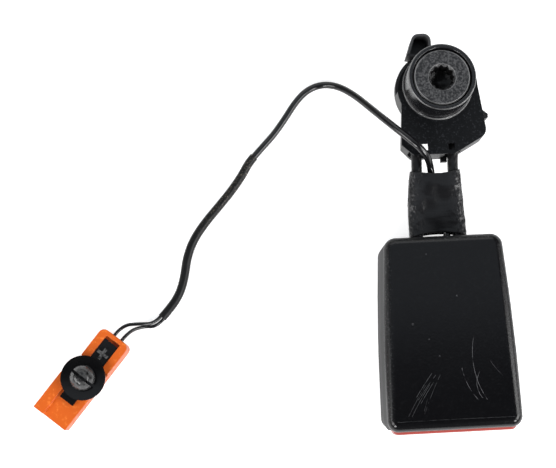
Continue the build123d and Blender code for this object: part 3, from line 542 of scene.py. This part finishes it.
# Stalk sleeve. Black plastic tube shrunk over both rope legs and the lead: crinkled along the edges,
# where it grips the rope legs, smooth between them with faint creases, and lifted where the lead leaves.
low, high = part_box("stalk_sleeve")
head_middle = (low.x + high.x) / 2
smooth_reach = 3.5 * mm
crinkled_reach = 10.0 * mm
material, tree, shader = new_finish("shrunk_tube")
place = object_place(tree)
axes = object_axes(tree)
reach = maths(tree, "ABSOLUTE", maths(tree, "SUBTRACT", axes["X"], head_middle))
edge_share = ramp(
    tree,
    reach,
    over=(smooth_reach, crinkled_reach),
    to=(0.06, 1.0),
    interpolation_type="SMOOTHSTEP",
)
# The crinkled edge bands are tinted paler than the smooth middle, a painted sheen, and their folds raise the
# relief there too.
folds = cloudy(tree, stretched(tree, place, (1.0, 0.6, 1.0)), 420.0, 3.0)
edge_folds_and_sheen = maths(tree, "MULTIPLY", folds, edge_share)
creases = cloudy(tree, stretched(tree, place, (0.25, 1.6, 1.0)), 420.0)
creased = maths(tree, "MULTIPLY_ADD", creases, 0.08, edge_folds_and_sheen)
slack = cloudy(tree, place, 95.0, 1.0)
height = maths(tree, "MULTIPLY_ADD", slack, 1.6, creased)
finish = [
    ("Base Color", tint_between(tree, edge_folds_and_sheen, (0.004, 0.004, 0.0048), (0.022, 0.022, 0.024))),
    ("Normal", relief(tree, height, 1.4, 0.9)),
    ("Roughness", 0.3),
    ("Specular IOR Level", 0.4),
]
plug(tree, shader, finish)

head_half = (high.x - low.x) / 2
head_depth = 5.6 * mm
top_shift = 0.3 * mm
top_half = 9.85 * mm
top_depth = high.z - low.z
sleeve_wall = 0.3 * mm
end_sag = 1.6 * mm
squareness = 0.6
left_bulge = 0.8 * mm
pull_depth = 0.5 * mm
pull_scale = 110
crinkle_depth = 0.7 * mm
crinkle_scale = 480
fine_crinkle_scale = 1000
fine_crinkle_share = 0.5
sideways_share = 0.3
grip_from = 0.5
lead_lift = 0.9 * mm
lift_across = -0.32
lift_half_width = 0.42
lift_along = 0.92
lift_half_length = 0.3
sleeve_sides = 160
sleeve_rings = 60
tube = bmesh.new()
upright = Matrix.Rotation(pi / 2, 4, "X")
ring = bmesh.ops.create_circle(tube, segments=sleeve_sides, radius=1.0, matrix=upright)
ring_edges = list({edge for vert in ring["verts"] for edge in vert.link_edges})
bmesh.ops.spin(
    tube,
    geom=ring["verts"] + ring_edges,
    cent=(0, 0, 0),
    axis=(0, 1, 0),
    dvec=(0, 1 / sleeve_rings, 0),
    angle=0,
    steps=sleeve_rings,
)
for vert in tube.verts:
    # The tube starts one unit long and one in radius, along Y, and takes its sizes here.
    side, along, rise = vert.co
    across = copysign(abs(side) ** squareness, side)
    upward = copysign(abs(rise) ** squareness, rise)
    half = head_half + (top_half - head_half) * along
    depth = head_depth + (top_depth - head_depth) * along
    middle = head_middle + top_shift * along
    sag = end_sag * (1 - across**2)
    plain = Vector((
        middle + across * half,
        low.y + sag + (high.y - low.y - 2 * sag) * along,
        low.z + depth / 2 * (1 + upward),
    ))
    halfway_hump = 4 * along * (1 - along)
    bulge = left_bulge * max(0, -side) * halfway_hump
    grip = max(0, abs(across) - grip_from) / (1 - grip_from)
    pull = noise.noise(plain * pull_scale)
    fine_crinkle = noise.noise(plain * fine_crinkle_scale)
    crinkle = noise.noise(plain * crinkle_scale) + fine_crinkle_share * fine_crinkle
    swell = pull_depth * pull * (1 - grip) + crinkle_depth * max(0, crinkle) * grip
    beside_lead = (across - lift_across) / lift_half_width
    before_lead = (along - lift_along) / lift_half_length
    lift = lead_lift * max(0, 1 - beside_lead**2 - before_lead**2) * max(0, rise)
    vert.co = plain + Vector((side * (sideways_share * swell + bulge), 0, rise * swell + lift))
bmesh.ops.recalc_face_normals(tube, faces=tube.faces)
sleeve = mesh_piece("shrunk_sleeve", tube, material)
wall = sleeve.modifiers.new("wall", "SOLIDIFY")
wall.thickness = sleeve_wall
wall.offset = -1
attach(sleeve, "buckle")
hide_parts("stalk_sleeve")


# Top and bottom covers. Moulded black plastic halves with softly bowed sides, snapped together round the
# frame. The face and the lip at the mouth are polished and the sides are satin, with fine grain on the
# rounded edges, where pale specks are painted on as sparkle highlights. Hairline scratches and a few nicks
# mark the face.
cover_dark = (0.003, 0.003, 0.0036)
cover_light = (0.014, 0.0145, 0.016)
cover_grain = 1600.0
cover_black = moulded_finish(
    "gloss_cover",
    cover_dark,
    cover_light,
    scale=cover_grain,
    depth=0.05,
    rough=(0.5, 0.64),
)
dress("bottom_cover", cover_black, 0.3)

arc_line_width = 0.11 * mm
arc_line, arc_in, arc_out = shade_group(
    "arc_line",
    [
        ("Centre X", 0.0),
        ("Centre Y", 0.0),
        ("Radius", 0.01),
        ("Low X", -0.1),
        ("High X", 0.1),
        ("Low Y", -0.1),
        ("High Y", 0.1),
        ("Strength", 1.0),
    ],
    ["Mask"],
)
axes = object_axes(arc_line)
centre = add_node(arc_line, "ShaderNodeCombineXYZ", [("X", arc_in["Centre X"]), ("Y", arc_in["Centre Y"])])
apart = add_node(
    arc_line,
    "ShaderNodeVectorMath",
    [(0, flat_place(arc_line, axes)), (1, centre.outputs["Vector"])],
    operation="DISTANCE",
)
line = maths(arc_line, "COMPARE", apart.outputs["Value"], arc_in["Radius"], arc_line_width)
broken = ramp(arc_line, cloudy(arc_line, object_place(arc_line), 420.0), over=(0.34, 0.56))
drawn = maths(arc_line, "MULTIPLY", line, broken)
for axis in ("X", "Y"):
    for limit, test in (("Low", "GREATER_THAN"), ("High", "LESS_THAN")):
        inside = maths(arc_line, test, axes[axis], arc_in[f"{limit} {axis}"])
        drawn = maths(arc_line, "MULTIPLY", drawn, inside)
plug(arc_line, arc_out, [("Mask", maths(arc_line, "MULTIPLY", drawn, arc_in["Strength"]))])


def arc_mask(tree, centre, radius, low, high, strength):
    """The mask of one arc, which shows between two corners; in millimetres."""
    arc = add_node(tree, "ShaderNodeGroup", node_tree=arc_line)
    sizes = [
        ("Centre X", centre.x * mm),
        ("Centre Y", centre.y * mm),
        ("Radius", radius * mm),
        ("Low X", low.x * mm),
        ("High X", high.x * mm),
        ("Low Y", low.y * mm),
        ("High Y", high.y * mm),
        ("Strength", strength),
    ]
    plug(tree, arc, sizes)
    return arc.outputs["Mask"]


# Each scratch has an upper end, a lower end, its bow to the left and its strength.
material, tree, shader = new_finish("scratched_cover")
room_beside = 1.0
masks = []
for upper, lower, bow, strength in (
    ((5.8, -99.2), (9.1, -123.2), 2.47, 1.0),
    ((0.4, -111.0), (5.6, -123.0), 0.89, 0.9),
    ((7.1, -112.7), (7.5, -122.6), 1.69, 0.9),
    ((11.3, -108.8), (15.7, -114.6), 0.28, 0.4),
    ((-9.5, -113.1), (-16.7, -122.2), 0.14, 0.5),
    ((-11.0, -112.5), (-17.3, -121.1), 0.12, 0.6),
    ((-13.4, -116.6), (-20.8, -128.2), 0.2, 0.35),
    ((-12.1, -116.7), (-19.5, -128.3), 0.2, 0.4),
    ((-7.9, -113.2), (-14.7, -127.5), 0.26, 0.4),
    ((-10.5, -115.7), (-15.8, -123.5), 0.09, 0.55),
    ((-13.2, -121.8), (-14.8, -126.4), 0.02, 0.3),
):
    upper = Vector(upper)
    lower = Vector(lower)
    chord = lower - upper
    radius = ((chord.length / 2) ** 2 + bow**2) / (2 * bow)
    inward = Vector((-chord.y, chord.x)).normalized()
    centre = (upper + lower) / 2 + inward * (radius - bow)
    low_corner = Vector((min(upper.x, lower.x) - bow - room_beside, lower.y))
    high_corner = Vector((max(upper.x, lower.x) + room_beside, upper.y))
    masks.append(arc_mask(tree, centre, radius, low_corner, high_corner, strength))

# Each nick has its place and the radius of its rim.
nick_half = Vector((1.0, 1.0))
nick_strength = 0.6
for nick, radius in (
    ((-16.9, -93.8), 0.3),
    ((-11.2, -99.7), 0.2),
    ((0.5, -83.8), 0.2),
    ((-10.1, -67.5), 0.2),
    ((-7.6, -106.2), 0.2),
):
    nick = Vector(nick)
    masks.append(arc_mask(tree, nick, radius, nick - nick_half, nick + nick_half, nick_strength))

# The line where the polished lip begins carries a pale painted highlight along its groove's edge, and is
# almost straight.
lip_middle = Vector((-3.0, -129.9))
lip_half = Vector((22.0, 1.0))
lip_radius = 2000.0
lip_strength = 0.5
lip_centre = lip_middle - Vector((0, lip_radius))
lip_corners = (lip_middle - lip_half, lip_middle + lip_half)
masks.append(arc_mask(tree, lip_centre, lip_radius, *lip_corners, lip_strength))
scratches_and_lip_highlight = masks[0]
for mask in masks[1:]:
    scratches_and_lip_highlight = maths(tree, "MAXIMUM", scratches_and_lip_highlight, mask)

low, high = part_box("top_cover")
round_levels = (high.z - 0.9 * mm, high.z - 0.05 * mm)
wall_levels = (high.z - 4.2 * mm, high.z - 2.6 * mm)
lip_width = 3.8 * mm
satin_roughness = 0.62
grain = grain_of(tree, cover_grain)
edge_grain = grain_of(tree, 1500.0)
axes = object_axes(tree)
dust = maths(tree, "MULTIPLY", grain["Speckle"], 0.3)
dusty = tint_between(tree, dust, cover_dark, cover_light)
# Scratches and nicks are pale marks on the face; the pale stripe at the lip line is a painted highlight.
marked_and_highlit = tint_between(tree, scratches_and_lip_highlight, dusty, (0.075, 0.076, 0.08))
rounded = ramp(tree, axes["Z"], over=round_levels, to=(1.0, 0.0))
behind_lip = maths(tree, "GREATER_THAN", axes["Y"], low.y + lip_width)
grained = maths(tree, "MULTIPLY", rounded, behind_lip)
pebbly = maths(tree, "MULTIPLY", edge_grain["Fine"], grained)
all_grain = maths(tree, "MULTIPLY_ADD", grain["Height"], 0.2, pebbly)
on_wall = ramp(tree, axes["Z"], over=wall_levels, to=(1.0, 0.0))
satin_share = maths(tree, "MAXIMUM", ramp(tree, grained, to=(0.0, 0.45)), on_wall)
polish = ramp(tree, grain["Cloud"], to=(0.13, 0.22))
satin = add_node(tree, "ShaderNodeMix", [("Factor", satin_share), ("A", polish), ("B", satin_roughness)])
above_wall = maths(tree, "SUBTRACT", 1.0, on_wall)
# Painted sparkle highlights: pale specks on the rounded edge band above the walls.
edge_band = maths(tree, "MULTIPLY", grained, above_wall)
painted_sparkle = maths(tree, "MULTIPLY", edge_grain["Speckle"], edge_band)
finish = [
    ("Base Color", tint_between(tree, painted_sparkle, marked_and_highlit, (0.06, 0.062, 0.066))),
    ("Roughness", satin.outputs["Result"]),
    ("Normal", relief(tree, all_grain, 0.12, 0.8)),
    ("Specular IOR Level", 0.32),
]
plug(tree, shader, finish)
dress("top_cover", material, 0.3)


# Press button. Red moulded plastic end piece that fills the upper part of the mouth.
# It slides into the head on two arms along the frame's outside.
button_red = moulded_finish(
    "button_red",
    (0.30, 0.050, 0.040),
    (0.40, 0.078, 0.062),
    scale=1500.0,
    depth=0.02,
    rough=(0.28, 0.38),
)
dress("press_button", button_red, 0.2)


# Switch lead. Limp black two-core lead that leaves the stalk sleeve, crosses the anchor's corner and
# lies on the floor in one loose bend. Its stretch inside the stalk is hidden.
lead_jacket, tree, shader = new_finish("lead_jacket")
cloud = grain_of(tree, 1200.0)["Cloud"]
finish = [
    ("Base Color", tint_between(tree, cloud, (0.002, 0.002, 0.0024), (0.007, 0.007, 0.008))),
    ("Normal", relief(tree, cloud, 0.1, 0.3)),
    ("Roughness", 0.2),
]
plug(tree, shader, finish)
dress("inner_lead", lead_jacket)

lead_diameter = 2.8
lead_route = [
    (-4.0, -38.0, 6.6),
    (-4.12, -32.4, 6.84),
    (-6.0, -28.6, 13.0),
    (-9.6, -25.0, 16.2),
    (-13.6, -21.4, 16.2),
    (-19.6, -15.2, 13.6),
    (-25.8, -7.4, 7.4),
    (-31.6, 0.4, 0.4),
    (-37.6, 6.0, -5.0),
    (-44.2, 7.9, -7.6),
    (-50.6, 5.6, -7.6),
    (-55.6, 0.6, -7.6),
    (-59.8, -5.6, -7.6),
    (-64.6, -12.0, -7.5),
    (-69.4, -17.0, -7.25),
    (-73.4, -21.2, -7.25),
]


def route_curve(name, routes, diameter, material):
    """A round cord along each route, its points being the control points of a smooth spline."""
    data = bpy.data.curves.new(name, "CURVE")
    data.dimensions = "3D"
    data.bevel_depth = diameter / 2 * mm
    data.bevel_resolution = 5
    data.use_fill_caps = True
    for route in routes:
        spline = data.splines.new("NURBS")
        spline.points.add(len(route) - 1)
        for point, place in zip(spline.points, route):
            point.co = (*[axis * mm for axis in place], 1.0)
        spline.order_u = 3
        spline.use_endpoint_u = True
        spline.resolution_u = 10
    data.materials.append(material)
    piece = bpy.data.objects.new(name, data)
    bpy.context.scene.collection.objects.link(piece)
    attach(piece, "buckle")
    return piece


lead = route_curve("lead", [lead_route], lead_diameter, lead_jacket)
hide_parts("switch_lead")


# Heat-shrink sleeve. Matt black plastic tube, a little thicker than the lead, shrunk over its lower half.
# Pale dust clings to its upper stretch.
shrink_diameter = 3.5
shrink_route = [
    (-73.4, -21.2, -7.25),
    (-75.6, -23.51, -7.25),
    (-78.4, -28.4, -7.25),
    (-82.8, -34.4, -7.25),
    (-88.6, -41.0, -7.25),
    (-94.4, -47.4, -7.25),
    (-99.2, -54.0, -7.25),
    (-102.0, -61.0, -7.25),
    (-103.2, -68.2, -7.25),
    (-105.2, -74.8, -7.25),
    (-108.8, -80.2, -7.25),
    (-112.8, -84.4, -7.25),
]
shrink_black = moulded_finish(
    "heat_shrink",
    (0.003, 0.003, 0.0035),
    (0.015, 0.015, 0.016),
    scale=700.0,
    depth=0.08,
    rough=(0.36, 0.5),
    shine=0.25,
)
low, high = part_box("lead_sleeve")
dust_from = low.y + 0.45 * (high.y - low.y)
dust_full = low.y + 0.75 * (high.y - low.y)
tree = shrink_black.node_tree
upper_stretch = ramp(tree, object_axes(tree)["Y"], over=(dust_from, dust_full))
dust = maths(tree, "MULTIPLY", grain_of(tree, 1700.0)["Speckle"], upper_stretch)
lay_over(shrink_black, dust, (0.14, 0.125, 0.10))
shrink = route_curve("heat_shrink", [shrink_route], shrink_diameter, shrink_black)
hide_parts("lead_sleeve")


# Two thin wires, each a single core in black plastic. They leave the heat-shrink side by side, bow out
# and end in the back of the connector.
wire_diameter = 1.4
wire_routes = [
    [
        (-113.34, -83.88, -6.85),
        (-115.96, -86.64, -6.85),
        (-121.5, -86.6, -4.4),
        (-128.22, -86.85, -4.0),
        (-131.44, -90.67, -4.0),
    ],
    [
        (-112.26, -84.92, -7.65),
        (-115.15, -87.96, -7.65),
        (-120.3, -87.5, -6.6),
        (-125.8, -89.41, -4.0),
        (-128.76, -92.93, -4.0),
    ],
]
wires = route_curve("core_wires", wire_routes, wire_diameter, lead_jacket)
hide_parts("lead_wires")


# Connector, its terminals and its fixing clip. Orange moulded housing with brass terminals inside; a
# black nylon clip with a round sealing disc and a split dart slides into the channel on its back.
connector_orange = moulded_finish(
    "connector_orange",
    (0.57, 0.098, 0.007),
    (0.76, 0.21, 0.035),
    scale=700.0,
    depth=0.02,
    rough=(0.36, 0.48),
    speckle=0.6,
)
terminal_brass = steel_finish("terminal_brass", (0.62, 0.45, 0.18), (0.74, 0.58, 0.28), 300.0, 0.01)
cross_level = 2.4 * mm
cross_half = 0.5 * mm
dart_level = 6.2 * mm
clip_black, tree, shader = new_finish("clip_nylon")
grain = grain_of(tree, 900.0)
axes = object_axes(tree)
low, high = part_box("connector_clip")
# Painted highlight: the cross rib and the top of the dart are painted paler in patches.
cross = maths(tree, "COMPARE", axes["Z"], low.z + cross_level, cross_half)
dart = maths(tree, "GREATER_THAN", axes["Z"], low.z + dart_level)
raised = maths(tree, "MAXIMUM", cross, maths(tree, "MULTIPLY", dart, 0.4))
patchy = ramp(tree, grain["Fine"], over=(0.3, 0.6))
painted_highlight_share = maths(tree, "MULTIPLY", raised, patchy)
finish = [
    ("Base Color", tint_between(tree, painted_highlight_share, (0.0035, 0.0035, 0.004), (0.11, 0.11, 0.11))),
    ("Roughness", ramp(tree, grain["Cloud"], to=(0.14, 0.26))),
    ("Specular IOR Level", 0.4),
]
plug(tree, shader, finish)
dress("connector_housing", connector_orange, 0.25)
dress("connector_terminals", terminal_brass, 0.1)
dress("connector_clip", clip_black)


# Floor, light and camera. A white table that glows a little, broad soft lamps to both sides so that the
# head's dark face stays dark, two small ones in front for glints at the mouth's corners, one behind, a
# panel over the anchor, and a long lens that looks down at the photograph's slight tilt.
table_half = 3.0
floor_level = cad_low.z
table_glow = 0.62
material, tree, shader = new_finish("white_table")
rays = add_node(tree, "ShaderNodeLightPath").outputs
seen = rays["Is Camera Ray"]
for ray in ("Is Glossy Ray", "Is Transmission Ray"):
    seen = maths(tree, "MAXIMUM", seen, rays[ray])
finish = [
    ("Base Color", (0.72, 0.72, 0.72, 1.0)),
    ("Roughness", 0.9),
    ("Emission Color", (1.0, 1.0, 1.0, 1.0)),
    ("Emission Strength", maths(tree, "MULTIPLY", seen, table_glow)),
]
plug(tree, shader, finish)
table = bmesh.new()
to_floor = Matrix.Translation((0, 0, floor_level))
bmesh.ops.create_grid(table, x_segments=1, y_segments=1, size=table_half, matrix=to_floor)
mesh_piece("table", table, material)

world = bpy.data.worlds.new("studio")
bpy.context.scene.world = world
world.use_nodes = True
sky = world.node_tree
way = add_node(sky, "ShaderNodeTexCoord").outputs["Generated"]
heading = add_node(sky, "ShaderNodeSeparateXYZ", [("Vector", way)]).outputs
fade = ramp(sky, heading["Z"], over=(0.1, 0.85), to=(0.2, 0.015))
plug(sky, sky.nodes["Background"], [("Color", (1.0, 1.0, 1.0, 1.0)), ("Strength", fade)])


def soft_lamp(name, place, aim, width, height, power, tint=(1.0, 1.0, 1.0)):
    """An area lamp, placed and aimed in metres."""
    light = bpy.data.lights.new(name, "AREA")
    light.shape = "RECTANGLE"
    light.size = width
    light.size_y = height
    light.energy = power
    light.color = tint
    lamp = bpy.data.objects.new(name, light)
    bpy.context.scene.collection.objects.link(lamp)
    lamp.location = place
    lamp.rotation_euler = (Vector(aim) - Vector(place)).to_track_quat("-Z", "Y").to_euler()


subject = (-0.06, -0.06, 0.0)
panel_place = (-0.05, 0.35, 0.62)
below_panel = (-0.05, 0.35, 0.0)
cool_white = (0.84, 0.92, 1.0)
soft_lamp("left_lamp", (-0.85, -0.36, 0.55), subject, width=0.6, height=0.5, power=6.2)
soft_lamp("right_lamp", (0.75, -0.33, 0.55), subject, width=0.6, height=0.5, power=7.8)
soft_lamp("left_glint", (-0.5, -0.75, 0.5), subject, width=0.24, height=0.24, power=4.2)
soft_lamp("right_glint", (0.45, -0.75, 0.5), subject, width=0.24, height=0.24, power=4.2)
soft_lamp("back_lamp", (-0.1, 0.85, 0.6), subject, width=1.1, height=0.6, power=2.6)
soft_lamp("top_panel", panel_place, below_panel, width=0.8, height=0.82, power=1.1, tint=cool_white)

image_width = 556
focal_pixels = 1266
camera_place = Vector((-77.8, -128.4, 494.3)) * mm
camera_aim = Vector((-65.4, -54.2, 0.0)) * mm
photo_up = Vector((0.0506, 0.9987, 0.0))
back = (camera_place - camera_aim).normalized()
right = photo_up.cross(back).normalized()
up = back.cross(right)
lens = bpy.data.cameras.new("camera")
lens.sensor_fit = "HORIZONTAL"
lens.sensor_width = 36.0
lens.lens = focal_pixels / image_width * lens.sensor_width
lens.clip_start = 0.01
camera = bpy.data.objects.new("camera", lens)
bpy.context.scene.collection.objects.link(camera)
camera.matrix_world = Matrix.Translation(camera_place) @ Matrix((right, up, back)).transposed().to_4x4()
bpy.context.scene.camera = camera
bpy.context.scene.view_settings.view_transform = "Standard"
